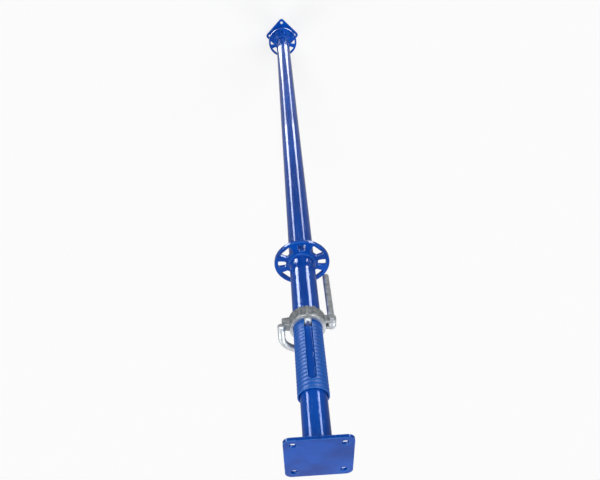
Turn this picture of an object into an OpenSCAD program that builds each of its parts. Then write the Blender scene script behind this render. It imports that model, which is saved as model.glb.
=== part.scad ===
// Adjustable steel prop with ring-lock rosettes.
// The origin is the centre of the base plate's underside, +Z points up the tube,
// and -Y is the side that the locking pin's tip points to.

/* [Base and head plates] */
// Side of the square plates
plate_w = 110; // [100:1:120]
// Thickness of the plates
plate_t = 6; // [4:0.5:10]
// Radius of the plates' corners
plate_corner_r = 12; // [6:1:14]
// Diameter of the bolt holes
plate_hole_d = 12; // [9:0.5:14]
// Distance from a bolt hole's centre to the two nearest edges
plate_hole_edge = 15; // [13:0.5:18]
// Turn of the base plate against the slots, in degrees
base_plate_turn = 45; // [0:15:90]

/* [Outer tube] */
// Outside diameter of the outer tube
outer_d = 56; // [54:0.5:60]
// Wall of the outer tube
outer_wall = 2.5; // [2:0.1:2.8]

/* [Welds] */
// Leg of the fillet welds at the plates
plate_weld = 6; // [4:0.5:7]
// Leg of the fillet welds at the rosettes
rosette_weld = 4.5; // [3:0.5:6]
// Width of the seam weld under the thread
seam_w = 3; // [2:0.5:4]
// Height of the seam weld above the thread's crests
seam_over_crest = 0.3; // [0.1:0.1:0.4]
// Radius of a fillet weld's hollow face against its leg
weld_face_ratio = 1.6; // [1.2:0.1:3]

/* [Rosettes] */
// Outside diameter of a rosette
rosette_d = 124; // [118:1:128]
// Thickness of a rosette
rosette_t = 9; // [7:0.5:11]
// Height of the lower rosette's middle above the ground
rosette_low_z = 100; // [80:1:140]
// Distance between the two rosettes, three times the 500 mm module
rosette_spacing = 1500; // [1000:500:2000]
// Width of the solid rim outside the ports
rosette_rim = 8.5; // [7:0.5:10]
// Width of the solid ring between the tube and the ports
rosette_hub = 8; // [7:0.5:10]
// Outer and inner width of the four narrow ports
narrow_port_w = [19, 15]; // [12:0.5:22]
// Outer and inner width of the four wide ports
wide_port_w = [33, 20]; // [18:0.5:36]
// Radius of the ports' corners
port_corner_r = 3.5; // [2:0.5:5]
// Bevel of the rosette's outer edges
rosette_bevel = 1.5; // [0.5:0.5:3]

/* [Thread and slots] */
// Height of the thread's crests above the tube
thread_rise = 0.5; // [0.2:0.1:1]
// Pitch of the thread
thread_pitch = 8; // [6:1:10]
// Turns of the nut from its lowest place to its highest
screw_turns = 15; // [10:1:18]
// Distance from the upper rosette's top to the start of the thread
thread_above_rosette = 161; // [150:1:260]
// Length of the threaded sleeve above its slots
mouth_margin = 18; // [12:1:40]

/* [Adjusting nut] */
// Height of the nut
nut_h = 26; // [22:1:40]
// Wall of the nut round its thread
nut_wall = 7.5; // [6:0.5:9]
// Gap between the nut's bore and the thread's crests
nut_clear = 0.4; // [0.2:0.1:1]
// Gap between the seam weld and the nut at its lowest
nut_seam_gap = 1.5; // [0.5:0.5:5]
// Bevel of the nut's outer edges
nut_bevel = 2; // [1:0.5:3]
// Thickness of the thrust washer
washer_t = 3; // [2:0.5:5]
// Step from the nut's outside in to the washer's edge
washer_inset = 1; // [0.5:0.5:3]
// Gap between parts that turn or slide on each other
run_gap = 0.3; // [0.2:0.05:0.5]

/* [Nut handle] */
// Diameter of the handle's bar
handle_d = 14; // [10:0.5:16]
// Length of the handle from its hinge bolt to its end
handle_len = 135; // [90:1:140]
// Distance from the nut's wall to the handle's eye
handle_eye_gap = 3; // [2:0.5:4]
// Distance that the handle's eye stands out beyond its bar
eye_rim = 2; // [1:0.5:3]
// Thickness of the handle's flattened eye
eye_w = 10; // [7:0.5:12]
// Distance from the hinge bolt's axis to the end of the eye's flats
eye_flat = 16; // [12:1:20]
// Bevel of the ends of the handle and the pin
bar_bevel = 3; // [1:0.5:4]
// Thickness of each lug
lug_t = 6; // [4:0.5:8]
// Diameter of the hinge bolt
bolt_d = 8; // [6:0.5:9]
// Across flats of the hinge bolt's head and nut
bolt_af = 13; // [11:0.5:14]
// Height of the hinge bolt's head
bolt_head_h = 5; // [4:0.5:7]
// Reach of the hammer lug beyond the nut's wall
hammer_lug_reach = 14; // [8:1:16]
// Width of the hammer lug
hammer_lug_w = 18; // [12:1:24]
// Taper of the hammer lug's upper and lower face, from its root to its tip
hammer_lug_taper = 2; // [1:0.5:3]
// Number of grip ribs on each free side of the nut
grip_ribs = 3; // [1:1:4]
// Radius of a grip rib
grip_rib_r = 4; // [2:0.5:5]
// Depth of a grip rib's axis under the nut's outside
grip_rib_sink = 1; // [0.5:0.5:2]
// Angle that the ribs of one side are spread over, with a step left at each end
grip_spread = 90; // [70:5:100]

/* [Locking pin] */
// Diameter of the pin
pin_d = 14; // [10:0.5:14]
// Gap round the pin in the slots and the inner tube's holes
pin_hole_gap = 1; // [0.5:0.1:1.5]
// Length of the pin's tip that stands out of the sleeve
pin_tip_out = 15; // [8:1:25]
// Gap for a finger between the sleeve and the pin's bow
bow_finger_gap = 16; // [14:0.5:18]
// Radius of the tight bend between the shank and the bow
bow_bend_r = 14; // [12:0.5:18]
// Length of the shank that stands out behind the sleeve before it bends
shank_back_out = 6; // [4:0.5:8]
// Length of the bow's straight end
bow_leg_len = 35; // [15:1:45]

/* [Inner tube] */
// Outside diameter of the inner tube
inner_d = 48; // [44:0.5:49]
// Wall of the inner tube
inner_wall = 3; // [2:0.1:4]
// Height of the inner tube's foot above the base plate
inner_foot_gap = 20; // [2:1:100]
// Shortest length of inner tube below its lowest hole
inner_end_min = 330; // [300:5:400]
// Hand gap between the sleeve's mouth and the head plate when closed
hand_gap = 104; // [100:1:150]

/* [Hidden] */
$fn = 96;
// How far a cut runs past the faces that it cuts
through = 1;

paint_blue = "#0A4CA8";
zinc_grey = "#A9ADAE";
cast_grey = "#6E7072";
weld_blue = "#0C56B4";

// Tube and thread
outer_r = outer_d / 2;
bore_r = outer_r - outer_wall;
crest_r = outer_r + thread_rise;
rosette_high_z = rosette_low_z + rosette_spacing;
thread_z = rosette_high_z + rosette_t / 2 + thread_above_rosette;
seam_r = crest_r + seam_over_crest;

// Screw: nut, washer and pin in a stack, at their lowest
screw_travel = thread_pitch * screw_turns;
nut_z = thread_z + seam_w / 2 + nut_seam_gap;
nut_top_z = nut_z + nut_h;
nut_r = crest_r + nut_clear + nut_wall;
washer_z = nut_top_z + run_gap;
washer_r = nut_r - washer_inset;
pin_r = pin_d / 2;
pin_z = washer_z + washer_t + run_gap + pin_r;

// Slots and mouth
slot_w = pin_d + 2 * pin_hole_gap;
slot_low_z = pin_z;
slot_high_z = pin_z + screw_travel;
mouth_z = slot_high_z + slot_w / 2 + mouth_margin;

// Handle and its hinge; the nut's lugs start in the middle of its wall
lug_root_x = nut_r - nut_wall / 2;
eye_r = handle_d / 2 + eye_rim;
hinge_x = nut_r + handle_eye_gap + eye_r;
hinge_z = nut_z + nut_h / 2;
lug_in_y = eye_w / 2 + run_gap;
lug_out_y = lug_in_y + lug_t;

// Locking pin: the tight bend and the wide bow are quarter rings that meet heading +X
bow_x = crest_r + bow_finger_gap + pin_r;
bow_r = bow_x - bow_bend_r;
shank_end_y = crest_r + shank_back_out;
shank_tip_y = -(crest_r + pin_tip_out);
bow_mid_y = shank_end_y + bow_bend_r - bow_r;

// Inner tube: its holes bear on the top of the pin
inner_r = inner_d / 2;
inner_foot_z = plate_t + inner_foot_gap;
head_z = mouth_z + hand_gap;
cross_hole_r = pin_r + pin_hole_gap;
top_hole_z = pin_z - (cross_hole_r - pin_r) + run_gap;
hole_pitch = screw_travel;
hole_steps = floor((top_hole_z - inner_foot_z - inner_end_min) / hole_pitch);

module four_fold() {
    for (quarter = [0 : 3]) rotate(90 * quarter) children();
}

// A round tube with a square-cut end at each end
module tube(r, wall, low_z, high_z) {
    difference() {
        translate([0, 0, low_z]) cylinder(r = r, h = high_z - low_z);
        translate([0, 0, low_z - through])
            cylinder(r = r - wall, h = high_z - low_z + 2 * through);
    }
}

// A square with round corners, from two crossed bars and four discs
module rounded_square(w, r) {
    square([w, w - 2 * r], center = true);
    square([w - 2 * r, w], center = true);
    for (x = [-1, 1], y = [-1, 1]) translate([x, y] * (w / 2 - r)) circle(r = r);
}

// The plate at the foot and at the head, with a bolt hole near each corner
module drilled_plate(low_z, turn) {
    hole_at = plate_w / 2 - plate_hole_edge;
    translate([0, 0, low_z]) rotate(turn) difference() {
        linear_extrude(plate_t) rounded_square(plate_w, plate_corner_r);
        for (x = [-1, 1], y = [-1, 1])
            translate([x * hole_at, y * hole_at, -through])
                cylinder(d = plate_hole_d, h = plate_t + 2 * through);
    }
}

// A fillet weld round a tube: legs along the tube and the plate, with a hollow face
module fillet_weld(tube_r, leg, low_z, faces_up = true) {
    face_r = weld_face_ratio * leg;
    centre = [tube_r, 0] + [1, 1] * (leg / 2 + sqrt(face_r * face_r - leg * leg / 2) / sqrt(2));
    translate([0, 0, low_z]) mirror([0, 0, faces_up ? 0 : 1])
        rotate_extrude() difference() {
            translate([tube_r, 0]) polygon([[0, 0], [leg, 0], [0, leg]]);
            translate(centre) circle(r = face_r);
        }
}

// One port of a rosette: a trapezoid with round corners, wider towards the rim.
// The straight sides touch the corner circles, so each corner is a true arc.
module port(widths) {
    r = port_corner_r;
    inner_x = outer_r + rosette_hub;
    outer_x = rosette_d / 2 - rosette_rim;
    slope = atan((widths[0] - widths[1]) / 2 / (outer_x - inner_x));
    near = [inner_x + r, widths[1] / 2 + r * tan(slope) - r / cos(slope)];
    far = [outer_x - r, widths[0] / 2 - r * tan(slope) - r / cos(slope)];
    side = r * [-sin(slope), cos(slope)];
    polygon([
        near - [r, 0], near + side, far + side, far + [r, 0],
        [far[0] + r, -far[1]], [far[0] + side[0], -far[1] - side[1]],
        [near[0] + side[0], -near[1] - side[1]], [near[0] - r, -near[1]]
    ]);
    for (corner = [near, far], y = [-1, 1]) translate([corner[0], y * corner[1]]) circle(r = r, $fn = 32);
}

// Ring-lock disc: four narrow ports on the axes and four wide ones between them
module rosette(mid_z) {
    half_t = rosette_t / 2;
    rim_r = rosette_d / 2;
    difference() {
        translate([0, 0, mid_z]) rotate_extrude() polygon([
            [outer_r, -half_t], [rim_r - rosette_bevel, -half_t], [rim_r, rosette_bevel - half_t],
            [rim_r, half_t - rosette_bevel], [rim_r - rosette_bevel, half_t], [outer_r, half_t]
        ]);
        translate([0, 0, mid_z - half_t - through]) linear_extrude(rosette_t + 2 * through)
            four_fold() {
                port(narrow_port_w);
                rotate(45) port(wide_port_w);
            }
    }
}

module base_plate() {
    color(paint_blue) drilled_plate(0, base_plate_turn);
}

module base_plate_weld() {
    color(weld_blue) fillet_weld(outer_r, plate_weld, plate_t);
}

module outer_tube() {
    color(paint_blue) tube(outer_r, outer_wall, plate_t, thread_z);
}

module lower_rosette() {
    color(paint_blue) rosette(rosette_low_z);
}

module lower_rosette_weld_under() {
    color(weld_blue) fillet_weld(outer_r, rosette_weld, rosette_low_z - rosette_t / 2, false);
}

module lower_rosette_weld_over() {
    color(weld_blue) fillet_weld(outer_r, rosette_weld, rosette_low_z + rosette_t / 2);
}

module upper_rosette() {
    color(paint_blue) rosette(rosette_high_z);
}

module upper_rosette_weld_under() {
    color(weld_blue) fillet_weld(outer_r, rosette_weld, rosette_high_z - rosette_t / 2, false);
}

module upper_rosette_weld_over() {
    color(weld_blue) fillet_weld(outer_r, rosette_weld, rosette_high_z + rosette_t / 2);
}

// A low cap over the joint between the plain tube and the threaded sleeve,
// with a step where the sleeve's crests are higher than the tube
module thread_seam_weld() {
    half_w = seam_w / 2;
    color(weld_blue) translate([0, 0, thread_z]) rotate_extrude()
        polygon([
            [outer_r, -half_w], [seam_r, -half_w / 2], [seam_r, half_w],
            [crest_r, half_w], [crest_r, 0], [outer_r, 0]
        ]);
}

// The threaded length, at the height of its crests, with the two slots for the pin
module threaded_sleeve() {
    color(paint_blue) difference() {
        tube(crest_r, crest_r - bore_r, thread_z, mouth_z);
        translate([0, crest_r + through, 0]) rotate([90, 0, 0])
            linear_extrude(2 * (crest_r + through)) {
                translate([-slot_w / 2, slot_low_z]) square([slot_w, slot_high_z - slot_low_z]);
                for (z = [slot_low_z, slot_high_z]) translate([0, z]) circle(d = slot_w);
            }
    }
}

module thrust_washer() {
    color(zinc_grey) tube(washer_r, washer_r - crest_r - nut_clear, washer_z, washer_z + washer_t);
}

// Outline of the nut's wall, bevelled at both outer edges and at the bore
module nut_profile() {
    bore = crest_r + nut_clear;
    lead_in = nut_bevel / 2;
    polygon([
        [bore + lead_in, 0], [nut_r - nut_bevel, 0], [nut_r, nut_bevel],
        [nut_r, nut_h - nut_bevel], [nut_r - nut_bevel, nut_h],
        [bore + lead_in, nut_h], [bore, nut_h - lead_in], [bore, lead_in]
    ]);
}

// Two lugs that carry the handle's hinge bolt
module handle_lugs() {
    difference() {
        for (side = [-1, 1]) translate([0, side * (lug_in_y + lug_t / 2), hinge_z]) {
            translate([-hinge_x, 0, 0]) rotate([90, 0, 0]) cylinder(r = eye_r, h = lug_t, center = true);
            translate([-hinge_x, -lug_t / 2, -eye_r]) cube([hinge_x - lug_root_x, lug_t, 2 * eye_r]);
        }
        translate([-hinge_x, 0, hinge_z]) rotate([90, 0, 0])
            cylinder(d = bolt_d, h = 2 * (lug_out_y + through), center = true);
    }
}

// A wedge to strike with a hammer, thicker at its root
module hammer_lug() {
    tip_x = nut_r + hammer_lug_reach;
    low = nut_bevel + hammer_lug_taper;
    translate([0, hammer_lug_w / 2, nut_z]) rotate([90, 0, 0]) linear_extrude(hammer_lug_w)
        polygon([
            [lug_root_x, nut_bevel], [tip_x - nut_bevel, low], [tip_x, low + nut_bevel],
            [tip_x, nut_h - low - nut_bevel], [tip_x - nut_bevel, nut_h - low],
            [lug_root_x, nut_h - nut_bevel]
        ]);
}

// Half-round upright ribs between the lugs, for the hands
module nut_grip_ribs() {
    step = grip_spread / (grip_ribs + 1);
    for (side = [90, 270], i = [1 : grip_ribs])
        rotate(side - grip_spread / 2 + i * step) translate([nut_r - grip_rib_sink, 0, nut_z + nut_bevel])
            cylinder(r = grip_rib_r, h = nut_h - 2 * nut_bevel, $fn = 32);
}

module adjusting_nut() {
    color(cast_grey) union() {
        translate([0, 0, nut_z]) rotate_extrude() nut_profile();
        handle_lugs();
        hammer_lug();
        nut_grip_ribs();
    }
}

// A bar with a bevelled end and a flattened, drilled eye, hanging from the hinge bolt
module nut_handle() {
    bar_r = handle_d / 2;
    color(zinc_grey) translate([-hinge_x, 0, hinge_z]) difference() {
        union() {
            rotate([90, 0, 0]) cylinder(r = eye_r, h = eye_w, center = true);
            translate([0, 0, bar_bevel - handle_len]) cylinder(r = bar_r, h = handle_len - bar_bevel);
            translate([0, 0, -handle_len]) cylinder(r1 = bar_r - bar_bevel, r2 = bar_r, h = bar_bevel);
        }
        rotate([90, 0, 0]) cylinder(d = bolt_d + 2 * run_gap, h = handle_d + 2 * through, center = true);
        for (side = [-1, 1]) translate([0, side * (eye_w + handle_d) / 2, 0])
            cube([4 * eye_r, handle_d, 2 * eye_flat], center = true);
    }
}

// A hexagon lying on the outside of a lug
module hinge_hexagon(y, direction) {
    translate([-hinge_x, y, hinge_z]) rotate([direction * 90, 0, 0])
        cylinder(d = bolt_af / cos(30), h = bolt_head_h, $fn = 6);
}

module handle_bolt() {
    color(zinc_grey) union() {
        hinge_hexagon(-lug_out_y, 1);
        translate([-hinge_x, -lug_out_y, hinge_z]) rotate([-90, 0, 0])
            cylinder(d = bolt_d, h = 2 * lug_out_y + bolt_head_h + through);
    }
}

module handle_bolt_nut() {
    color(zinc_grey) difference() {
        hinge_hexagon(lug_out_y, -1);
        translate([-hinge_x, lug_out_y - through, hinge_z]) rotate([-90, 0, 0])
            cylinder(d = bolt_d, h = bolt_head_h + 2 * through);
    }
}

// A straight length of the pin's bar towards -Y, bevelled at its far end
module bevelled_bar(length) {
    rotate([90, 0, 0]) {
        cylinder(r = pin_r, h = length - bar_bevel);
        translate([0, 0, length - bar_bevel]) cylinder(r1 = pin_r, r2 = pin_r - bar_bevel, h = bar_bevel);
    }
}

// A quarter ring of the pin's bar, from +X to +Y
module quarter_ring(bend_r) {
    rotate_extrude(angle = 90) translate([bend_r, 0]) circle(r = pin_r);
}

// A straight shank through the sleeve, a tight bend, a wide bow and a straight end.
// The bow stays outside the sleeve's width, so the pin pulls straight out.
module locking_pin() {
    color(zinc_grey) translate([0, 0, pin_z]) union() {
        translate([0, shank_end_y, 0]) bevelled_bar(shank_end_y - shank_tip_y);
        translate([bow_bend_r, shank_end_y, 0]) mirror([1, 0, 0]) quarter_ring(bow_bend_r);
        translate([bow_bend_r, bow_mid_y, 0]) quarter_ring(bow_r);
        translate([bow_x, bow_mid_y, 0]) bevelled_bar(bow_leg_len);
    }
}

// The inner tube, cross-drilled at the pitch that one full stroke of the nut bridges
module inner_tube() {
    color(paint_blue) difference() {
        tube(inner_r, inner_wall, inner_foot_z, head_z);
        for (step = [0 : hole_steps])
            translate([0, 0, top_hole_z - step * hole_pitch]) rotate([90, 0, 0])
                cylinder(r = cross_hole_r, h = 2 * (inner_r + through), center = true);
    }
}

module head_plate() {
    color(paint_blue) drilled_plate(head_z, 0);
}

module head_plate_weld() {
    color(weld_blue) fillet_weld(inner_r, plate_weld, head_z, false);
}

base_plate();
base_plate_weld();
outer_tube();
lower_rosette();
lower_rosette_weld_under();
lower_rosette_weld_over();
upper_rosette();
upper_rosette_weld_under();
upper_rosette_weld_over();
thread_seam_weld();
threaded_sleeve();
thrust_washer();
adjusting_nut();
nut_handle();
handle_bolt();
handle_bolt_nut();
locking_pin();
inner_tube();
head_plate();
head_plate_weld();
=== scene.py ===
"""Dresses the adjustable steel prop: enamelled tubes, rosettes, threaded sleeve, nut and pin."""
import logging
import math
from dataclasses import dataclass
from enum import Enum
from typing import Callable, Iterable

import bmesh
import bpy
from mathutils import Matrix, Vector, noise


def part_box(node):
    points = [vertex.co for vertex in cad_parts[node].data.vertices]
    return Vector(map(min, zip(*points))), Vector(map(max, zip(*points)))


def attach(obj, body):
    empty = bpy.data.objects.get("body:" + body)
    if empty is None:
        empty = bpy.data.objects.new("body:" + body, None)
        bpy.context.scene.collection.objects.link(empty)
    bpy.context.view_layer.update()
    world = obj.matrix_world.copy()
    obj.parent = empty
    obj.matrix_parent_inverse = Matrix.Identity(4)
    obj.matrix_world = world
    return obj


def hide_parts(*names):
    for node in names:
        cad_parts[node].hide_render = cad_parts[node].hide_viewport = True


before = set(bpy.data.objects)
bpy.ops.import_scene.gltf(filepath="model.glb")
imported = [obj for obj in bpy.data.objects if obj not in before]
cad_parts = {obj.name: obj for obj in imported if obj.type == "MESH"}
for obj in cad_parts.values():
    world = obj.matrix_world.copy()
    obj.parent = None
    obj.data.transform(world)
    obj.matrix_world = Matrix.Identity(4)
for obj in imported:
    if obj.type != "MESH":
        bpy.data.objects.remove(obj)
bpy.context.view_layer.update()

LOG = logging.getLogger("prop")
Piece = bpy.types.Object
Tree = bpy.types.NodeTree
Socket = bpy.types.NodeSocket
EdgeOrFaceTest = Callable[[Vector, Vector], bool]

MM = 0.001
# Points that are nearer than this are one point
SAME_POINT = 1e-6
# Places that agree within this are the same place, and lie on the same skin within the next
HAIR = 0.01 * MM
ON_SKIN = 0.1 * MM
# Least share of an edge or a normal that lies along an axis, for it to count as parallel
PARALLEL = 0.9
# Angles between faces, in degrees: joined up to the first, rounded from the second, and shaded
# smooth up to the others, on tubes, threads, flat pieces and rough skins
FLAT_ANGLE, HARD_ANGLE = 0.4, 40.0
TUBE_ANGLE, THREAD_ANGLE, PLATE_ANGLE, SKIN_ANGLE = 35.0, 40.0, 50.0, 60.0
# A tube's bore: how far its faces may lie outside its radius, and how steep an end face is
BORE_MARGIN, END_SLOPE = 0.15 * MM, 0.3
# An edge is found where the rounded normal leaves the flat one: cosines for no edge mark and for a
# full one, which is wear on bare castings and a painted highlight on the enamel
EDGE_MARK_NONE, EDGE_MARK_FULL = 0.995, 0.85


# ---- Small helpers for operators, meshes and nodes ----

class Pick(Enum):
    """What edit mode selects."""

    EDGES = "EDGE"
    FACES = "FACE"


def linear(code: str) -> tuple[float, float, float, float]:
    """Turn an sRGB hex colour into linear RGBA.

    Args:
        code: A colour such as "#0A4CA8".

    Returns:
        Red, green, blue and alpha, linear.
    """
    parts = [int(code[i:i + 2], 16) / 255 for i in (1, 3, 5)]
    red, green, blue = [p / 12.92 if p <= 0.04045 else ((p + 0.055) / 1.055) ** 2.4 for p in parts]
    return red, green, blue, 1.0


def wire(tree: Tree, node: bpy.types.Node, links: dict) -> None:
    """Link or set a node's inputs.

    Args:
        tree: The node tree.
        node: The node.
        links: Input name or number to an output socket, or to a plain value.
    """
    for name, source in links.items():
        if isinstance(source, Socket):
            tree.links.new(source, node.inputs[name])
        else:
            node.inputs[name].default_value = source


def add_node(tree: Tree, kind: str, links: dict | None = None,
             **settings: object) -> bpy.types.Node:
    """Add a shader node with its settings and its input links.

    Args:
        tree: The node tree that gets the node.
        kind: The node's type, without "ShaderNode".
        links: What goes into its inputs, as in wire.
        **settings: Attributes of the node.

    Returns:
        The new node.
    """
    node = tree.nodes.new("ShaderNode" + kind)
    for name, value in settings.items():
        setattr(node, name, value)
    wire(tree, node, links or {})
    return node


def deselect() -> None:
    """Leave nothing selected and no edit mode open."""
    if bpy.context.object and bpy.context.object.mode != "OBJECT":
        bpy.ops.object.mode_set(mode="OBJECT")
    bpy.ops.object.select_all(action="DESELECT")


def activate(obj: Piece) -> None:
    """Select one object alone and make it active.

    Args:
        obj: The object.
    """
    deselect()
    obj.select_set(True)
    bpy.context.view_layer.objects.active = obj


def start_shape(add: Callable[..., object], name: str, **settings: object) -> Piece:
    """Add a primitive to be shaped, with its place in its mesh.

    Args:
        add: The operator that adds it.
        name: The object's name.
        **settings: The operator's size and place.

    Returns:
        The primitive's object.
    """
    deselect()
    add(**settings)
    obj = bpy.context.object
    obj.name = obj.data.name = name
    bpy.ops.object.transform_apply(location=True, rotation=True, scale=True)
    return obj


def into_scene(name: str, data: bpy.types.ID) -> Piece:
    """Make an object of a mesh, a lamp or a camera.

    Args:
        name: Name of the object and of its data.
        data: The mesh, lamp or camera.

    Returns:
        The object, linked to the scene.
    """
    data.name = name
    obj = bpy.data.objects.new(name, data)
    bpy.context.scene.collection.objects.link(obj)
    return obj


def select(obj: Piece, pick: Pick, wanted: EdgeOrFaceTest) -> None:
    """Open edit mode with only the edges or the faces selected that pass a test.

    Args:
        obj: The mesh object to edit.
        pick: Whether edges or faces are tested.
        wanted: Takes an edge's two ends, or a face's middle and its normal.
    """
    activate(obj)
    bpy.ops.object.mode_set(mode="EDIT")
    bpy.ops.mesh.select_mode(type=pick.value)
    bpy.ops.mesh.select_all(action="DESELECT")
    mesh = bmesh.from_edit_mesh(obj.data)
    if pick is Pick.EDGES:
        for edge in mesh.edges:
            edge.select_set(wanted(edge.verts[0].co, edge.verts[1].co))
    else:
        for face in mesh.faces:
            face.select_set(wanted(face.calc_center_median(), face.normal))
    mesh.select_flush_mode()
    bmesh.update_edit_mesh(obj.data)


def upright(one: Vector, other: Vector) -> bool:
    """Say if the edge between two points stands upright."""
    return abs(one.z - other.z) > PARALLEL * (one - other).length


def level(one: Vector, other: Vector) -> bool:
    """Say if the edge between two points lies level."""
    return abs(one.z - other.z) < HAIR


def round_edges(obj: Piece, width: float, wanted: EdgeOrFaceTest, segments: int) -> None:
    """Round the edges that pass a test.

    Args:
        obj: The mesh object to edit.
        width: Width of the rounding, in metres.
        wanted: Takes an edge's two ends and says if it is rounded.
        segments: Faces across the rounding.
    """
    select(obj, Pick.EDGES, wanted)
    bpy.ops.mesh.bevel(offset=width, segments=segments, affect="EDGES")
    bpy.ops.object.mode_set(mode="OBJECT")


def apply_modifier(obj: Piece, kind: str, **settings: object) -> None:
    """Add a modifier with its settings and apply it at once.

    Args:
        obj: The object that gets it.
        kind: The modifier's type, such as "BEVEL".
        **settings: Attributes of the modifier.
    """
    activate(obj)
    modifier = obj.modifiers.new(kind.title(), kind)
    for name, value in settings.items():
        setattr(modifier, name, value)
    bpy.ops.object.modifier_apply(modifier=modifier.name)


def cut_away(obj: Piece, cutters: Iterable[Piece]) -> None:
    """Take the cutters' shapes out of an object and delete the cutters.

    Args:
        obj: The object to cut.
        cutters: The shapes that are taken out, one by one.
    """
    for cutter in cutters:
        apply_modifier(obj, "BOOLEAN", object=cutter, operation="DIFFERENCE", solver="EXACT")
        bpy.data.objects.remove(cutter)


def flare_ends(cutter: Piece, middle: Vector, half: tuple[float, float], width: float) -> None:
    """Lengthen an upright cutter by a widening end each way, so that it breaks its hole's edges.

    Args:
        cutter: The cutter, as long as the straight part of the hole.
        middle: Middle of the cutter.
        half: Half its size along X and along Y.
        width: Width of the broken edge, in metres.
    """
    # The ends pass the hole's faces by 1 mm and widen at 45 degrees
    reach = width + 1 * MM
    wider = (1 + reach / half[0], 1 + reach / half[1], 1)
    for way in (1, -1):
        select(cutter, Pick.FACES, lambda at, normal, way=way: normal.z * way > PARALLEL)
        bpy.ops.mesh.extrude_region_move(TRANSFORM_OT_translate={"value": (0, 0, way * reach)})
        bpy.ops.transform.resize(value=wider, center_override=middle)
    bpy.ops.object.mode_set(mode="OBJECT")


def smooth(obj: Piece, angle: float) -> None:
    """Shade an object smooth up to an angle in degrees."""
    activate(obj)
    bpy.ops.object.shade_smooth_by_angle(angle=math.radians(angle))


def clean(obj: Piece) -> None:
    """Merge doubled points and point all faces outwards.

    Args:
        obj: The object to clean.
    """
    activate(obj)
    bpy.ops.object.mode_set(mode="EDIT")
    bpy.ops.mesh.select_all(action="SELECT")
    bpy.ops.mesh.remove_doubles(threshold=SAME_POINT)
    bpy.ops.mesh.normals_make_consistent(inside=False)
    bpy.ops.object.mode_set(mode="OBJECT")


def finish_flats(obj: Piece) -> None:
    """Clean an object and shade it smooth with its large faces kept flat.

    Args:
        obj: The object to finish.
    """
    clean(obj)
    smooth(obj, PLATE_ANGLE)
    apply_modifier(obj, "WEIGHTED_NORMAL", mode="FACE_AREA", weight=100, keep_sharp=True)


def copy_piece(obj: Piece, name: str, rise: float = 0.0, turn: float = 0.0,
               flip: bool = False) -> Piece:
    """Copy a finished piece, with a mesh of its own, to another place on the prop.

    Args:
        obj: The piece to copy.
        name: The copy's name.
        rise: How far the copy lies above the piece's own place, in metres.
        turn: Turn about the tube's axis, in degrees.
        flip: Whether the copy is mirrored about the ground before it is raised.

    Returns:
        The copy, which rides on nothing yet.
    """
    twin = into_scene(name, obj.data.copy())
    mirror = Matrix.Diagonal((1, 1, -1 if flip else 1, 1))
    turned = Matrix.Rotation(math.radians(turn), 4, "Z")
    twin.data.transform(Matrix.Translation((0, 0, rise)) @ turned @ mirror)
    if flip:
        twin.data.flip_normals()
    return twin


def stand_at(obj: Piece, at: Vector, back: Vector, up: Vector, roll: float = 0.0) -> None:
    """Place and aim a lamp or the camera.

    Args:
        obj: The lamp or the camera.
        at: Its place.
        back: The direction that it faces away from, one long.
        up: A direction on its upper side.
        roll: Turn about its line of view, in degrees.
    """
    up = (up - back * up.dot(back)).normalized()
    rolled = Matrix.Rotation(math.radians(roll), 3, back)
    side, up = rolled @ up.cross(back), rolled @ up
    obj.matrix_world = Matrix((
        (side.x, up.x, back.x, at.x), (side.y, up.y, back.y, at.y),
        (side.z, up.z, back.z, at.z), (0, 0, 0, 1)))


def enamelled_pieces() -> bpy.types.Collection:
    """Find or make the collection of the pieces that the strip lamps light."""
    name = "enamelled_pieces"
    return bpy.data.collections.get(name) or bpy.data.collections.new(name)


def place(obj: Piece, body: str, slot: "Slot", finish: "Finish", *nodes: str) -> Piece:
    """Give a piece its material and body, and let it stand for its CAD nodes.

    Args:
        obj: The finished piece.
        body: The CAD body that it rides on.
        slot: The record's material slot; not used.
        finish: The finish that covers it, unless it has its materials already.
        *nodes: The CAD nodes that it replaces.

    Returns:
        The piece.
    """
    if not obj.data.materials:
        obj.data.materials.append(finish.material())
    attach(obj, body)
    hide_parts(*nodes)
    if isinstance(finish, GlossEnamel):
        enamelled_pieces().objects.link(obj)
    LOG.info("%s: %d faces on %s", obj.name, len(obj.data.polygons), body)
    return obj


# ---- Finishes ----

@dataclass(frozen=True)
class Specks:
    """A pattern of noise specks with soft limits."""

    # Size of one speck in metres, the noise values that give 0 and 1, and octaves of the noise
    size: float
    low: float
    high: float
    detail: float = 2.0


# Breaks up the edge mark into chips and bare lengths: chipped wear on bare castings, a broken
# painted highlight on the enamel
WEAR_AND_HIGHLIGHT_BREAKS = Specks(4 * MM, 0.25, 0.55, 4.0)


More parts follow.
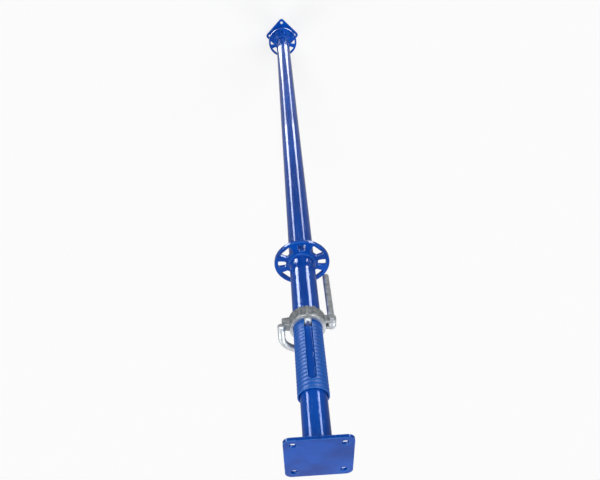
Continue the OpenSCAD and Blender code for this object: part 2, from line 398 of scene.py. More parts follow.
class Surface:
    """A material in the making, with its Object coordinates."""

    def __init__(self, name: str) -> None:
        """Begin the material.

        Args:
            name: The material's name.
        """
        self.material = bpy.data.materials.new(name)
        self.material.use_nodes = True
        self.tree = self.material.node_tree
        self.where = self.add("TexCoord").outputs["Object"]

    def add(self, kind: str, links: dict | None = None, **settings: object) -> bpy.types.Node:
        """Add a node to the material, as add_node does."""
        return add_node(self.tree, kind, links, **settings)

    def stretched(self, share: float) -> Socket:
        """Return coordinates in which patterns are drawn out along the tube."""
        return self.add("Mapping", {"Vector": self.where, "Scale": (1, 1, share)}).outputs[0]

    def mask(self, specks: Specks, where: Socket | None = None) -> Socket:
        """Make a mask of specks.

        Args:
            specks: The pattern.
            where: Its coordinates, if they aren't the object's own.

        Returns:
            The mask's output.
        """
        grain = self.add("TexNoise", {"Vector": where or self.where, "Scale": 1 / specks.size,
                                      "Detail": specks.detail})
        limits = self.add("MapRange", {"Value": grain.outputs["Fac"], "From Min": specks.low,
                                       "From Max": specks.high})
        return limits.outputs["Result"]

    def edge_wear_and_highlight(self, reach: float) -> Socket:
        """Find the edges, broken up by noise: where bare castings rub and wear, and where the
        enamel gets a painted highlight.

        Args:
            reach: Reach of the edge mark from an edge, in metres.

        Returns:
            A mask that is 1 on these edges.
        """
        flat = self.add("NewGeometry").outputs["Normal"]
        rounded = self.add("Bevel", {"Radius": reach}, samples=4).outputs["Normal"]
        same = self.add("VectorMath", {0: flat, 1: rounded}, operation="DOT_PRODUCT")
        sharp = self.add("MapRange", {"Value": same.outputs["Value"], "From Min": EDGE_MARK_NONE,
                                      "From Max": EDGE_MARK_FULL})
        return self.add("Math", {0: sharp.outputs["Result"], 1: self.mask(WEAR_AND_HIGHLIGHT_BREAKS)},
                        operation="MULTIPLY").outputs[0]

    def layered(self, base: str, *layers: tuple[Socket, str]) -> Socket:
        """Lay colours over a base colour by their masks.

        Args:
            base: Hex colour of the base.
            *layers: Each layer's mask and its hex colour, the lowest first.

        Returns:
            The output of the colour on top.
        """
        colour = linear(base)
        for mask, code in layers:
            mix = self.add("Mix", {0: mask, 6: colour, 7: linear(code)}, data_type="RGBA")
            colour = mix.outputs[2]
        return colour

    def relief(self, *layers: tuple[Socket, float, float]) -> Socket:
        """Add up bumps of the surface.

        Args:
            *layers: Each bump's height, its strength and its depth in metres, the coarsest first.

        Returns:
            The output of the bumped normal.
        """
        links = {}
        for height, strength, depth in layers:
            links.update({"Height": height, "Strength": strength, "Distance": depth})
            links["Normal"] = self.add("Bump", links).outputs["Normal"]
        return links["Normal"]

    def dressed(self, links: dict) -> bpy.types.Material:
        """Set the shader's inputs.

        Args:
            links: What goes into them, as in wire.

        Returns:
            The finished material.
        """
        wire(self.tree, self.tree.nodes["Principled BSDF"], links)
        return self.material


def background_share(tree: Tree, mirrored: float) -> Socket:
    """Find how much of a white background a ray shows, straight or in metal and gloss.

    Args:
        tree: The material's or the world's tree.
        mirrored: The share that metal, gloss and glass show.

    Returns:
        An output that is 1 for camera rays and the share for glossy and transmission rays.
    """
    rays = add_node(tree, "LightPath").outputs
    turned = add_node(tree, "Math", {0: rays["Is Glossy Ray"], 1: rays["Is Transmission Ray"]},
                      operation="MAXIMUM")
    share = add_node(tree, "Math", {0: turned.outputs[0], 1: mirrored}, operation="MULTIPLY")
    return add_node(tree, "Math", {0: rays["Is Camera Ray"], 1: share.outputs[0]},
                    operation="MAXIMUM").outputs[0]


class Finish:
    """A surface finish that makes its material once."""

    name: str

    def material(self) -> bpy.types.Material:
        """Return the finish's material, made at the first call."""
        return bpy.data.materials.get(self.name) or self.build()

    def build(self) -> bpy.types.Material:
        """Make the material."""
        raise NotImplementedError


@dataclass(frozen=True)
class GlossEnamel(Finish):
    """Air-dried blue enamel, dipped and drained: deep, very glossy, with a little dust."""

    name: str = "blue_gloss_enamel"
    body_colour: str = "#0651BA"
    thick_colour: str = "#05409E"
    # Lighter blue along rims and edges: a painted highlight where the gloss would catch the light
    edge_highlight_colour: str = "#62A6F4"
    dust_colour: str = "#9CB4D8"
    roughness: float = 0.07
    dulling: float = 0.06
    ior: float = 1.5
    shine: float = 0.22
    shine_tint: str = "#B4CCFF"
    edge_reach: float = 1.8 * MM
    # Runs are some 16 mm wide and stretched along the tube, and the film is thick in places
    run_size: float = 16 * MM
    run_depth: float = 0.25 * MM
    run_stretch: float = 0.18
    thick_places: Specks = Specks(48 * MM, 0.4, 0.65)
    # Orange peel is 2 to 4 mm across
    peel_size: float = 4 * MM
    peel_depth: float = 0.05 * MM
    # Nibs are specks of grit under the film, some 2 mm across and a tenth of a millimetre high
    nibs: Specks = Specks(2.2 * MM, 0.64, 0.72, 1.0)
    nib_depth: float = 0.12 * MM
    # Dust lies as specks of about 1 mm in patches, which are a little duller
    dust: float = 0.25
    dust_specks: Specks = Specks(1.1 * MM, 0.66, 0.72, 1.0)
    dust_patches: Specks = Specks(45 * MM, 0.45, 0.7)

    def build(self) -> bpy.types.Material:
        """Make the material.

        Returns:
            The material.
        """
        skin = Surface(self.name)
        drained = skin.stretched(self.run_stretch)
        runs = skin.add("TexNoise", {"Vector": drained, "Scale": 1 / self.run_size, "Detail": 1.0})
        peel = skin.add("TexNoise", {"Vector": skin.where, "Scale": 1 / self.peel_size,
                                     "Detail": 1.0})
        patches, dusty = skin.mask(self.dust_patches), skin.mask(self.dust_specks)
        for share in (patches, self.dust):
            dusty = skin.add("Math", {0: dusty, 1: share}, operation="MULTIPLY").outputs[0]
        film = skin.add("MapRange", {"Value": patches, "To Min": self.roughness,
                                     "To Max": self.roughness + self.dulling})
        return skin.dressed({
            # The edge layer is a painted highlight: lighter blue along rims, broken up by noise
            "Base Color": skin.layered(
                self.body_colour, (skin.mask(self.thick_places, drained), self.thick_colour),
                (skin.edge_wear_and_highlight(self.edge_reach), self.edge_highlight_colour), (dusty, self.dust_colour)),
            "Roughness": film.outputs["Result"],
            "IOR": self.ior,
            "Specular IOR Level": self.shine,
            "Specular Tint": linear(self.shine_tint),
            "Normal": skin.relief((runs.outputs["Fac"], 1.0, self.run_depth),
                                  (peel.outputs["Fac"], 1.0, self.peel_depth),
                                  (skin.mask(self.nibs), 1.0, self.nib_depth)),
        })


@dataclass(frozen=True)
class RawTubeSteel(Finish):
    """Bare inside of a welded tube: rolled grey-brown steel with paint mist and flash rust."""

    name: str = "raw_rolled_steel"
    steel_colour: str = "#6E6654"
    dark_colour: str = "#3A3730"
    mist_colour: str = "#1F3F80"
    metallic: float = 0.55
    roughness: float = 0.42
    # Rolling lines run along the tube
    line_stretch: float = 0.05
    lines: Specks = Specks(5 * MM, 0.35, 0.7, 4.0)
    line_depth: float = 0.1 * MM
    line_strength: float = 0.6
    mist: Specks = Specks(30 * MM, 0.5, 0.75)

    def build(self) -> bpy.types.Material:
        """Make the material.

        Returns:
            The material.
        """
        skin = Surface(self.name)
        lines = skin.mask(self.lines, skin.stretched(self.line_stretch))
        return skin.dressed({
            "Base Color": skin.layered(self.steel_colour, (lines, self.dark_colour),
                                       (skin.mask(self.mist), self.mist_colour)),
            "Metallic": self.metallic,
            "Roughness": self.roughness,
            "Normal": skin.relief((lines, self.line_strength, self.line_depth)),
        })


@dataclass(frozen=True)
class ZincPlate(Finish):
    """Zinc-plated bar and forgings: bluish light grey, satin, dulled where hands rub."""

    name: str = "zinc_plated_steel"
    bright_colour: str = "#D3D8DC"
    dull_colour: str = "#AAB0B5"
    stain_colour: str = "#8E897E"
    roughness: float = 0.34
    dulling: float = 0.18
    clouds: Specks = Specks(9 * MM, 0.35, 0.68, 5.0)
    stains: Specks = Specks(5 * MM, 0.66, 0.8, 3.0)
    # The plated skin's own grain, drawn coarser than it is so that it shows
    grain_size: float = 0.9 * MM
    grain_depth: float = 0.06 * MM
    grain_strength: float = 0.5

    def build(self) -> bpy.types.Material:
        """Make the material.

        Returns:
            The material.
        """
        skin = Surface(self.name)
        clouds = skin.mask(self.clouds)
        film = skin.add("MapRange", {"Value": clouds, "To Min": self.roughness,
                                     "To Max": self.roughness + self.dulling})
        grain = skin.add("TexNoise", {"Vector": skin.where, "Scale": 1 / self.grain_size,
                                      "Detail": 3.0})
        return skin.dressed({
            "Base Color": skin.layered(self.bright_colour, (clouds, self.dull_colour),
                                       (skin.mask(self.stains), self.stain_colour)),
            "Metallic": 1.0,
            "Roughness": film.outputs["Result"],
            "Normal": skin.relief((grain.outputs["Fac"], self.grain_strength, self.grain_depth)),
        })


@dataclass(frozen=True)
class SandCastIron(Finish):
    """Galvanised ductile iron casting: mid grey, sandy skin, brighter where edges rub."""

    name: str = "galvanised_cast_iron"
    skin_colour: str = "#B9BEC1"
    pit_colour: str = "#878C90"
    rub_colour: str = "#E4E7E9"
    metallic: float = 0.9
    roughness: float = 0.5
    clouds: Specks = Specks(7 * MM, 0.35, 0.65, 5.0)
    edge_reach: float = 1.4 * MM
    grain_size: float = 1.6 * MM
    grain_depth: float = 0.35 * MM
    grain_strength: float = 0.8

    def build(self) -> bpy.types.Material:
        """Make the material.

        Returns:
            The material.
        """
        skin = Surface(self.name)
        sand = skin.add("TexNoise", {"Vector": skin.where, "Scale": 1 / self.grain_size,
                                     "Detail": 4.0})
        return skin.dressed({
            "Base Color": skin.layered(self.skin_colour, (skin.mask(self.clouds), self.pit_colour),
                                       (skin.edge_wear_and_highlight(self.edge_reach), self.rub_colour)),
            "Metallic": self.metallic,
            "Roughness": self.roughness,
            "Normal": skin.relief((sand.outputs["Fac"], self.grain_strength, self.grain_depth)),
        })


@dataclass(frozen=True)
class StudioFloor(Finish):
    """Matt pale studio paper that stays white behind the object and keeps its shadow."""

    name: str = "pale_studio_paper"
    colour: str = "#A0A0A0"
    roughness: float = 0.9
    # White that the camera sees over what the lamps give, so that the paper ends up white
    lift: float = 0.635
    # The yard round a real prop is darker than paper, so its gloss mirrors less than all of it
    mirrored: float = 0.15

    def build(self) -> bpy.types.Material:
        """Make the material.

        Returns:
            The material.
        """
        skin = Surface(self.name)
        lift = skin.add("Math", {0: background_share(skin.tree, self.mirrored), 1: self.lift},
                        operation="MULTIPLY")
        return skin.dressed({
            "Base Color": linear(self.colour),
            "Roughness": self.roughness,
            "Specular IOR Level": 0.0,
            "Emission Color": (1, 1, 1, 1),
            "Emission Strength": lift.outputs[0],
        })


ENAMEL = GlossEnamel()
# Each enamel's edge colour is a painted highlight along rims and edges
THREAD_ENAMEL = GlossEnamel(
    name="blue_enamel_on_thread", body_colour="#1660C0", thick_colour="#0F50AC",
    edge_highlight_colour="#6FAAF2", roughness=0.4, peel_size=2 * MM, peel_depth=0.06 * MM,
    run_depth=0.1 * MM, dust=0.5)
WELD_ENAMEL = GlossEnamel(
    name="blue_enamel_on_weld", body_colour="#0B58BC", thick_colour="#0848A4", roughness=0.09,
    peel_size=2 * MM, dust=0.1)
RAW_STEEL = RawTubeSteel()
ZINC = ZincPlate()
CASTING = SandCastIron()
FLOOR = StudioFloor()


class Slot(Enum):
    """The record's material slots."""

    PAINT = "blue_paint"
    WELD = "painted_weld"
    ZINC = "zinc_steel"
    CAST = "cast_iron"


# ---- Shapes that several sub-assemblies share ----

def node_radius(node: str) -> float:
    """Return half the width of a round CAD node."""
    low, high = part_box(node)
    return (high.x - low.x) / 2


def node_height(node: str) -> float:
    """Return the height of a CAD node."""
    low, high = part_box(node)
    return high.z - low.z


def from_axis(point: Vector) -> float:
    """Return a point's distance from the tubes' axis."""
    return math.hypot(point.x, point.y)


def ring_noise(turn: float, waves: float, seed: float) -> float:
    """Return noise from -1 to 1 that closes round a ring, finer with more waves."""
    return noise.noise(Vector((waves * math.cos(turn), waves * math.sin(turn), seed)))


def hollow_tube(name: str, radius: float, wall: float, low: float, high: float, sides: int = 144,
                rings: Iterable[int] = ()) -> Piece:
    """Model a tube with square-cut ends.

    Args:
        name: The object's name.
        radius: Outside radius.
        wall: Thickness of the wall.
        low: Height of the lower end.
        high: Height of the upper end.
        sides: Faces round the tube.
        rings: Parts that the outer skin's length is cut into, and then each of those, and so on.

    Returns:
        The tube, with no material yet.
    """
    obj = start_shape(bpy.ops.mesh.primitive_cylinder_add, name, vertices=sides, radius=radius,
                      depth=high - low, end_fill_type="NGON", location=(0, 0, (low + high) / 2))
    for parts in rings:
        select(obj, Pick.EDGES, upright)
        bpy.ops.mesh.subdivide(number_cuts=parts - 1)
    select(obj, Pick.FACES, lambda middle, normal: abs(normal.z) > PARALLEL)
    bpy.ops.mesh.inset(thickness=wall)
    bpy.ops.mesh.bridge_edge_loops()
    bpy.ops.object.mode_set(mode="OBJECT")
    return obj


def split_slots(obj: Piece, bore: float, outside: Finish, inside: Finish) -> None:
    """Give a tube's bore a finish of its own.

    Args:
        obj: The tube.
        bore: Radius of the bore.
        outside: Finish of the outer faces and the ends.
        inside: Finish of the bore.
    """
    obj.data.materials.append(outside.material())
    obj.data.materials.append(inside.material())
    for face in obj.data.polygons:
        near = from_axis(face.center) < bore + BORE_MARGIN
        face.material_index = int(near and abs(face.normal.z) < END_SLOPE)


def plain_tube(node: str, name: str, body: str, wall: float, drills: Iterable[Piece] = (),
               **cuts: object) -> None:
    """Model and dress a tube that is painted outside and raw inside.

    Args:
        node: The CAD node that it stands for.
        name: The tube's name.
        body: The CAD body that it rides on.
        wall: Thickness of the wall.
        drills: Shapes that are taken out of it.
        **cuts: Its sides and rings, as in hollow_tube.
    """
    low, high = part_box(node)
    radius = node_radius(node)
    tube = hollow_tube(name, radius, wall, low.z, high.z, **cuts)
    clean(tube)
    cut_away(tube, drills)
    smooth(tube, TUBE_ANGLE)
    split_slots(tube, radius - wall, ENAMEL, RAW_STEEL)
    place(tube, body, Slot.PAINT, ENAMEL, node)


@dataclass
class WeldBead:
    """A fillet weld laid round a tube on top of a plate, with the ripples of the moving pool."""

    tube_radius: float
    leg: float
    ripple_pitch: float = 2.6 * MM
    ripple_depth: float = 0.28 * MM
    # The ripples' lag round the bead, the power that narrows their valleys, and their last angle
    ripple_lag: float = 0.9
    ripple_power: float = 0.6
    ripple_end: float = 2.4
    # Shares of the leg: what lies inside the tube's skin, where the two metals run together, how
    # hollow the face is, the crown's height, and what reaches inwards and into the plate
    root: float = 0.18
    hollow: float = 0.16
    crown: float = 0.97
    inner: float = 0.3
    under: float = 0.35
    # Unevenness round the tube: its size, and how fine it is
    uneven: float = 0.05
    uneven_waves: float = 3.0

    def point(self, turn: float, tilt: float, seed: float) -> tuple[float, float, float]:
        """Work out a point of the bead's skin, for a bead that stands on the ground.

        Args:
            turn: Angle round the tube.
            tilt: Angle round the bead: 0 is outwards, a quarter turn is up.
            seed: Number that sets this bead's unevenness.

        Returns:
            The point.
        """
        count = round(2 * math.pi * self.tube_radius / self.ripple_pitch)
        swell = 1 + self.uneven * ring_noise(turn, self.uneven_waves, seed)
        arc = abs(math.sin(0.5 * count * turn + self.ripple_lag * math.cos(tilt)))
        valley = self.ripple_depth * (arc ** self.ripple_power - 1) / self.leg
        grow = 1 + valley if 0 <= tilt <= self.ripple_end else 1
        face = 1 - self.hollow * math.sin(2 * tilt) ** 2 if 0 < tilt < math.pi / 2 else 1
        across, up = math.cos(tilt), math.sin(tilt)
        out = max(0.0, across) * (1 - self.root) * swell + min(0.0, across) * self.inner
        rise = up * (self.crown * swell if up > 0 else self.under)
        radius = self.tube_radius + self.leg * (self.root + out * face) * grow
        return radius * math.cos(turn), radius * math.sin(turn), self.leg * rise * face * grow

    def model(self, seed: float) -> Piece:
        """Model a bead that stands on the ground.

        Args:
            seed: Number that sets its unevenness.

        Returns:
            The bead.
        """
        spine = self.tube_radius + self.root * self.leg
        obj = start_shape(bpy.ops.mesh.primitive_torus_add, "bead_pattern", major_segments=288,
                          minor_segments=14, minor_radius=1 * MM, major_radius=spine)
        for vertex in obj.data.vertices:
            turn = math.atan2(vertex.co.y, vertex.co.x)
            tilt = math.atan2(vertex.co.z, from_axis(vertex.co) - spine)
            vertex.co = self.point(turn, tilt, seed)
        clean(obj)
        smooth(obj, SKIN_ANGLE)
        return obj

    def lay(self, body: str, *places: tuple[str, bool, float], seed: float) -> None:
        """Model one bead, and copy it to its CAD nodes.

        Args:
            body: The CAD body that the beads ride on.
            *places: Each bead's node, whether it hangs under its plate, and its turn in degrees.
            seed: Number that sets their unevenness.
        """
        pattern = self.model(seed)
        for node, hangs, turn in places:
            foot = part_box(node)[1 if hangs else 0].z
            bead = copy_piece(pattern, node.replace("weld", "bead"), foot, turn, hangs)
            place(bead, body, Slot.WELD, WELD_ENAMEL, node)
        bpy.data.objects.remove(pattern)


@dataclass
class DrilledPlate:
    """A square end plate with round corners and a bolt hole near each corner."""

    node: str
    side: float = 110 * MM
    corner: float = 12 * MM
    hole_radius: float = 6 * MM
    hole_edge: float = 15 * MM
    rounding: float = 0.7 * MM

    def model(self, name: str) -> Piece:
        """Model the plate square to the row axes, at the height of its CAD node.

        Args:
            name: The plate's name.

        Returns:
            The plate.
        """
        low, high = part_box(self.node)
        height, thick = (low.z + high.z) / 2, high.z - low.z
        obj = start_shape(bpy.ops.mesh.primitive_cube_add, name, size=1, location=(0, 0, height),
                          scale=(self.side, self.side, thick))
        round_edges(obj, self.corner, upright, segments=14)
        round_edges(obj, self.rounding, level, segments=3)
        at = self.side / 2 - self.hole_edge
        for x, y in ((at, at), (-at, at), (-at, -at), (at, -at)):
            middle = Vector((x, y, height))
            drill = start_shape(bpy.ops.mesh.primitive_cylinder_add, "drill", vertices=64,
                                radius=self.hole_radius, depth=thick - 2 * self.rounding,
                                location=middle)
            flare_ends(drill, middle, (self.hole_radius, self.hole_radius), self.rounding)
            cut_away(obj, [drill])
        finish_flats(obj)
        return obj


@dataclass
class Rosette:
    """A stamped ring-lock disc with narrow and wide ports by turns."""

    node: str
    tube_radius: float
    rim: float = 8.5 * MM
    hub: float = 8 * MM
    # Narrow and wide ports: width at the rim's side and at the tube's side, and the first's turn
    ports: tuple = (((19 * MM, 15 * MM), 0), ((33 * MM, 20 * MM), 45))
    port_step: int = 90
    corner: float = 3.325 * MM
    rim_rounding: float = 1.5 * MM
    port_rounding: float = 0.6 * MM

    def punch(self, widths: tuple[float, float], low: float, high: float) -> Piece:
        """Model the punch for a port on the X axis, with ends that break the port's edges.

        Args:
            widths: Width at the rim's side and at the tube's side.
            low: Height of the disc's lower face.
            high: Height of the disc's upper face.

        Returns:
            The cutter.
        """
        inner, outer = self.tube_radius + self.hub, node_radius(self.node) - self.rim
        length, depth = outer - inner, high - low - 2 * self.port_rounding
        middle = Vector(((inner + outer) / 2, 0, (low + high) / 2))
        punch = start_shape(bpy.ops.mesh.primitive_cube_add, "punch", size=1, location=middle,
                            scale=(length, widths[0], depth))
        select(punch, Pick.FACES, lambda at, normal: normal.x < -PARALLEL)
        bpy.ops.transform.resize(value=(1, widths[1] / widths[0], 1), center_override=middle)
        round_edges(punch, self.corner, upright, segments=7)
        flare_ends(punch, middle, (length / 2, sum(widths) / 4), self.port_rounding)
        return punch

    def model(self, name: str) -> Piece:
        """Model the disc at the height of its CAD node.

        Args:
            name: The disc's name.

        Returns:
            The disc.
        """
        low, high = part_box(self.node)
        radius = node_radius(self.node)
        obj = hollow_tube(name, radius, radius - self.tube_radius, low.z, high.z, sides=192)
        clean(obj)
        round_edges(obj, self.rim_rounding, lambda a, b: level(a, b)
                    and min(from_axis(a), from_axis(b)) > radius - ON_SKIN, segments=4)
        for widths, start in self.ports:
            pattern = self.punch(widths, low.z, high.z)
            cut_away(obj, [copy_piece(pattern, "port_cutter", turn=turn)
                           for turn in range(start, 360, self.port_step)])
            bpy.data.objects.remove(pattern)
        finish_flats(obj)
        return obj


# ---- Sub-assemblies ----

@dataclass
class OuterSection:
    """Base plate, plain tube, two rosettes and the threaded sleeve."""

    body: str = "outer_section"
    wall: float = 2.5 * MM
    thread_pitch: float = 8 * MM
    thread_depth: float = 0.85 * MM
    # Power that widens the crests, where the thread starts over the seam, the lengths over which
    # it deepens there and fades at the mouth, and the share of its depth that is left at the mouth
    crest_power: float = 1.4
    plain_start: float = 3 * MM
    run_in: float = 7 * MM
    run_out: float = 2 * MM
    mouth_share: float = 0.35
    mouth_rounding: float = 0.55 * MM
    sleeve_sides: int = 128
    sleeve_rings: tuple[int, ...] = (4, 58)
    slot_width: float = 16 * MM
    mouth_margin: float = 18 * MM
    screw_travel: float = 120 * MM
    base_turn: float = 45.0
    # The weld where the tube and the sleeve meet: its radius, how much taller than round it is,
    # and its unevenness round the tube
    seam_radius: float = 0.9 * MM
    seam_height: float = 1.5
    seam_swell: float = 0.12 * MM
    seam_waves: float = 9.0
    # Turns that keep the beads' starts apart: from rosette to rosette, and from face to face
    level_turn: float = 70.0
    face_turn: float = 130.0

    def thread_height(self, at: Vector, low: float, high: float) -> float:
        """Work out how far the rolled thread lies under its crests at a point.

        Args:
            at: The point on the sleeve.
            low: Height where the sleeve starts.
            high: Height of the mouth.

        Returns:
            The depth in metres, 0 at a crest.
        """
        turn = math.atan2(at.y, at.x) / (2 * math.pi)
        phase = (at.z - low) / self.thread_pitch - turn
        groove = (0.5 - 0.5 * math.cos(2 * math.pi * phase)) ** self.crest_power
        deepen = min(1.0, max(0.0, (at.z - low - self.plain_start) / self.run_in))
        fade = min(1.0, max(0.0, (high - at.z) / self.run_out))
        left = self.mouth_share + (1 - self.mouth_share) * fade
        return self.thread_depth * groove * deepen * left

    def build_sleeve(self) -> None:
        """Model the rolled thread, its two slots and the open mouth."""
        low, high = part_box("threaded_sleeve")
        crest, bore = node_radius("threaded_sleeve"), node_radius("outer_tube") - self.wall
        sleeve = hollow_tube("rolled_thread_sleeve", crest, crest - bore, low.z, high.z,
                             sides=self.sleeve_sides, rings=self.sleeve_rings)
        clean(sleeve)
        round_edges(sleeve, self.mouth_rounding, lambda a, b: min(a.z, b.z) > high.z - HAIR
                    and abs(from_axis(a) - from_axis(b)) < ON_SKIN, segments=3)
        for vertex in sleeve.data.vertices:
            if from_axis(vertex.co) > crest - ON_SKIN:
                radius = crest - self.thread_height(vertex.co, low.z, high.z)
                across = Vector((vertex.co.x, vertex.co.y)).normalized() * radius
                vertex.co.x, vertex.co.y = across
        clean(sleeve)
        length = self.screw_travel + self.slot_width
        middle = high.z - self.mouth_margin - length / 2
        slot = start_shape(bpy.ops.mesh.primitive_cube_add, "slot_cutter", size=1,
                           location=(0, 0, middle), scale=(self.slot_width, 4 * crest, length))
        # A hair less than half the width, so that the two roundings don't meet
        round_edges(slot, self.slot_width / 2 - HAIR, lambda a, b: abs(a.y - b.y) > crest,
                    segments=12)
        cut_away(sleeve, [slot])
        smooth(sleeve, THREAD_ANGLE)
        split_slots(sleeve, bore, THREAD_ENAMEL, RAW_STEEL)
        place(sleeve, self.body, Slot.PAINT, THREAD_ENAMEL, "threaded_sleeve")

    def build_seam(self) -> None:
        """Model the thin weld that joins the tube and the sleeve."""
        low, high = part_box("thread_seam_weld")
        middle = (low.z + high.z) / 2
        spine = node_radius("thread_seam_weld") - self.seam_radius
        seam = start_shape(bpy.ops.mesh.primitive_torus_add, "seam_bead", major_segments=256,
                           minor_segments=12, minor_radius=self.seam_radius, major_radius=spine,
                           location=(0, 0, middle))
        for vertex in seam.data.vertices:
            turn = math.atan2(vertex.co.y, vertex.co.x)
            swell = self.seam_swell * (ring_noise(turn, self.seam_waves, seed=2.0) - 1)
            across = Vector((vertex.co.x, vertex.co.y))
            vertex.co.x, vertex.co.y = across.normalized() * (across.length + swell)
            vertex.co.z = middle + self.seam_height * (vertex.co.z - middle)
        clean(seam)
        smooth(seam, SKIN_ANGLE)
        place(seam, self.body, Slot.WELD, WELD_ENAMEL, "thread_seam_weld")

    def build_foot(self) -> None:
        """Model the base plate, turned by an eighth, and its weld."""
        plate = DrilledPlate("base_plate").model("base_plate_steel")
        plate.data.transform(Matrix.Rotation(math.radians(self.base_turn), 4, "Z"))
        place(plate, self.body, Slot.PAINT, ENAMEL, "base_plate")
        bead = WeldBead(node_radius("outer_tube"), node_height("base_plate_weld"))
        bead.lay(self.body, ("base_plate_weld", False, 0.0), seed=1.0)

    def build_rosettes(self) -> None:
        """Model one disc and one bead, and copy them to both levels and both faces."""
        radius = node_radius("outer_tube")
        lower = Rosette("lower_rosette", radius).model("lower_rosette_disc")
        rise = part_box("upper_rosette")[0].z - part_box("lower_rosette")[0].z
        upper = copy_piece(lower, "upper_rosette_disc", rise=rise)
        beads = []
        for number, (side, disc) in enumerate((("lower", lower), ("upper", upper))):
            place(disc, self.body, Slot.PAINT, ENAMEL, f"{side}_rosette")
            for face, hangs in (("under", True), ("over", False)):
                turn = self.level_turn * number + self.face_turn * hangs
                beads.append((f"{side}_rosette_weld_{face}", hangs, turn))
        bead = WeldBead(radius, node_height("lower_rosette_weld_over"))
        bead.lay(self.body, *beads, seed=2.0)

    def build(self) -> None:
        """Build and dress every piece of the outer section."""
        self.build_foot()
        plain_tube("outer_tube", "outer_tube_shell", self.body, self.wall, rings=(12,))
        self.build_rosettes()
        self.build_seam()
        self.build_sleeve()


@dataclass
class InnerSection:
    """Inner tube with its cross holes, and the head plate."""

    body: str = "inner_section"
    wall: float = 3 * MM
    hole_radius: float = 8 * MM
    hole_pitch: float = 120 * MM
    hole_count: int = 13
    # Height of the top hole under the middle of the pin
    hole_drop: float = 0.7 * MM

    def build_tube(self) -> None:
        """Model the inner tube and drill it across at an even pitch."""
        low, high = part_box("locking_pin")
        top_hole = (low.z + high.z) / 2 - self.hole_drop
        # Long enough to pass through both walls
        reach = 4 * node_radius("inner_tube")
        drills = []
        for number in range(self.hole_count):
            height = top_hole - number * self.hole_pitch
            drills.append(start_shape(
                bpy.ops.mesh.primitive_cylinder_add, "drill", vertices=40, radius=self.hole_radius,
                depth=reach, location=(0, 0, height), rotation=(math.pi / 2, 0, 0)))
        plain_tube("inner_tube", "inner_tube_shell", self.body, self.wall, drills, sides=128)

    def build_head(self) -> None:
        """Model the head plate and the weld under it."""
        plate = DrilledPlate("head_plate").model("head_plate_steel")
        place(plate, self.body, Slot.PAINT, ENAMEL, "head_plate")
        bead = WeldBead(node_radius("inner_tube"), node_height("head_plate_weld"))
        bead.lay(self.body, ("head_plate_weld", True, 0.0), seed=9.0)

    def build(self) -> None:
        """Build and dress every piece of the inner section."""
        self.build_tube()
        self.build_head()


@dataclass(frozen=True)
class BarePiece:
    """An unpainted piece that follows its CAD node: where it belongs and how its edges are made."""

    node: str
    body: str
    name: str
    slot: Slot = Slot.ZINC
    finish: Finish = ZINC
    # Width of the rounding of its edges, or, for a casting or a forging, the size of the faces
    # that it is remade with and the passes of smoothing
    rounding: float = 0.0
    voxel: float = 0.0
    passes: int = 0

    def copy_node(self) -> Piece:
        """Copy the CAD node's mesh.

        Returns:
            The copy, with its points merged and its flat faces joined.
        """
        piece = into_scene(self.name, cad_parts[self.node].data.copy())
        piece.data.materials.clear()
        clean(piece)
        bpy.ops.object.mode_set(mode="EDIT")
        bpy.ops.mesh.select_all(action="SELECT")
        bpy.ops.mesh.dissolve_limited(angle_limit=math.radians(FLAT_ANGLE))
        bpy.ops.object.mode_set(mode="OBJECT")
        return piece

    def build(self) -> None:
        """Finish the edges of a copy of the node and dress it."""
        piece = self.copy_node()
        if self.voxel:
            apply_modifier(piece, "REMESH", mode="VOXEL", voxel_size=self.voxel,
                           use_smooth_shade=True)
            apply_modifier(piece, "SMOOTH", factor=0.5, iterations=self.passes)
            smooth(piece, SKIN_ANGLE)
        else:
            apply_modifier(piece, "BEVEL", width=self.rounding, segments=2, limit_method="ANGLE",
                           angle_limit=math.radians(HARD_ANGLE))
            finish_flats(piece)
        place(piece, self.body, self.slot, self.finish, self.node)


@dataclass
class Screw:
    """Adjusting nut, its handle and hinge bolt, the thrust washer and the locking pin."""

    pieces: tuple[BarePiece, ...] = (
        BarePiece("adjusting_nut", "nut", "nut_casting", Slot.CAST, CASTING, voxel=0.7 * MM,
                  passes=6),
        BarePiece("handle_bolt", "nut", "hinge_bolt_steel", rounding=0.3 * MM),
        BarePiece("handle_bolt_nut", "nut", "hinge_bolt_lock_nut", rounding=0.3 * MM),
        BarePiece("nut_handle", "handle", "swing_handle_bar", voxel=0.6 * MM, passes=4),
        BarePiece("thrust_washer", "washer", "thrust_washer_ring", rounding=0.4 * MM),
        BarePiece("locking_pin", "pin", "g_pin_bar", rounding=0.5 * MM),
    )

    def build(self) -> None:
        """Build and dress every piece of the screw."""
        for piece in self.pieces:
            piece.build()


# ---- Studio ----

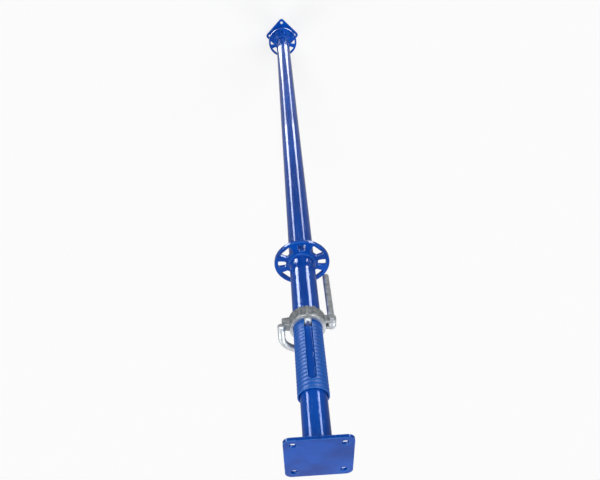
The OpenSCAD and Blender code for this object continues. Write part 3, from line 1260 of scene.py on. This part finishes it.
@dataclass
class Studio:
    """Pale floor, strip lamps for the streaks along the tubes, large soft lamps and the camera."""

    # The camera stands over the open end and looks down along the tube, towards the foot
    mouth_height: float = 1.951
    camera_distance: float = 0.93
    camera_elevation: float = 34.0
    camera_azimuth: float = 2.5
    aim_height: float = 1.52
    roll: float = -5.0
    lens: float = 31.0
    floor_size: float = 60.0
    # Large soft lamps, far off: direction that the light comes from, and strength
    soft_lamps: tuple = (
        ("soft_front", (0.25, -1.0, 0.55), 1.45),
        ("soft_key", (-0.7, -0.6, 1.2), 0.85),
        ("soft_right", (1.0, 0.8, 0.7), 0.9),
        ("soft_back", (-0.9, 1.0, 0.6), 0.9),
    )
    softness: float = 40.0
    surround_light: float = 0.26
    surround_seen: float = 0.97
    surround_mirrored: float = 0.9
    # Each streak is drawn by slanted strips end to end. They widen upwards, so that each looks
    # equally wide from the tube along its length. Their ends as distance from the axis and
    # height, and their glows; then each streak's name, azimuth and strip widths
    strip_ends: tuple = ((0.08, 0.01), (0.36, 0.27), (0.80, 0.66), (1.50, 1.28))
    strip_glows: tuple[float, ...] = (8.0, 14.0, 30.0)
    streaks: tuple = (
        ("left_strip", 54.0, (0.095, 0.198, 0.40)),
        ("right_strip", -42.0, (0.074, 0.165, 0.36)),
    )

    def build_floor(self) -> None:
        """Lay a wide pale floor."""
        floor = start_shape(bpy.ops.mesh.primitive_plane_add, "studio_floor",
                            size=self.floor_size, location=(0, 0, 0))
        floor.data.materials.append(FLOOR.material())

    def add_strip(self, name: str, near: Vector, far: Vector, out: Vector, width: float,
                  glow: float) -> None:
        """Add a strip lamp that faces the tube.

        Args:
            name: The lamp's name.
            near: Middle of its end by the tube.
            far: Middle of its far end.
            out: Level direction away from the tube.
            width: Its width, in metres.
            glow: Its brightness.
        """
        middle, length = (near + far) / 2, (far - near).length
        slope = (far - near).normalized()
        back = slope.cross(Vector((-out.y, out.x, 0)))
        back = back if back.dot(middle) > 0 else -back
        data = bpy.data.lights.new(name, "AREA")
        data.shape = "RECTANGLE"
        data.size, data.size_y = width, length
        data.energy = glow * math.pi * width * length
        lamp = into_scene(name, data)
        stand_at(lamp, middle, back, slope)
        lamp.visible_camera = False
        # The strips draw the streaks in the enamel's gloss. They leave its colour to the soft
        # lamps, and the bare zinc unclipped
        lamp.visible_diffuse = False
        lamp.light_linking.receiver_collection = enamelled_pieces()

    def build_lights(self) -> None:
        """Add the strips and the soft lamps."""
        for name, azimuth, widths in self.streaks:
            turn = math.radians(azimuth + self.camera_azimuth)
            out = Vector((math.sin(turn), -math.cos(turn), 0))
            ends = [out * reach + Vector((0, 0, height)) for reach, height in self.strip_ends]
            strips = zip(ends, ends[1:], widths, self.strip_glows)
            for number, (near, far, width, glow) in enumerate(strips):
                self.add_strip(f"{name}_{number}", near, far, out, width, glow)
        for name, direction, strength in self.soft_lamps:
            data = bpy.data.lights.new(name, "SUN")
            data.energy = strength
            data.angle = math.radians(self.softness)
            lamp = into_scene(name, data)
            lamp.rotation_euler = Vector(direction).to_track_quat("Z", "Y").to_euler()

    def build_surround(self) -> None:
        """Make the even surround: dim as a lamp, white where a ray shows it."""
        world = bpy.data.worlds.new("even_surround")
        bpy.context.scene.world = world
        world.use_nodes = True
        tree = world.node_tree
        shown = background_share(tree, self.surround_mirrored)
        strength = add_node(tree, "MapRange", {"Value": shown, "To Min": self.surround_light,
                                               "To Max": self.surround_seen})
        wire(tree, tree.nodes["Background"], {"Color": (1, 1, 1, 1),
                                              "Strength": strength.outputs["Result"]})

    def build_camera(self) -> None:
        """Place the camera and aim it so that the whole prop is in view."""
        azimuth = math.radians(self.camera_azimuth)
        elevation = math.radians(self.camera_elevation)
        out = Vector((math.sin(azimuth) * math.cos(elevation),
                      -math.cos(azimuth) * math.cos(elevation), math.sin(elevation)))
        at = Vector((0, 0, self.mouth_height)) + out * self.camera_distance
        data = bpy.data.cameras.new("camera")
        data.lens = self.lens
        camera = into_scene("camera", data)
        back = (at - Vector((0, 0, self.aim_height))).normalized()
        # The open end is at the bottom of the view, so the view's up points down the tube
        stand_at(camera, at, back, Vector((0, 0, -1)), self.roll)
        bpy.context.scene.camera = camera

    def build(self) -> None:
        """Build the whole studio."""
        self.build_camera()
        self.build_floor()
        self.build_lights()
        self.build_surround()
        bpy.context.scene.view_settings.view_transform = "Standard"


def main() -> None:
    """Build the studio and the prop, piece by piece."""
    logging.basicConfig(level=logging.INFO, format="%(name)s: %(message)s")
    Studio().build()
    OuterSection().build()
    InnerSection().build()
    Screw().build()


if __name__ == "__main__":
    main()
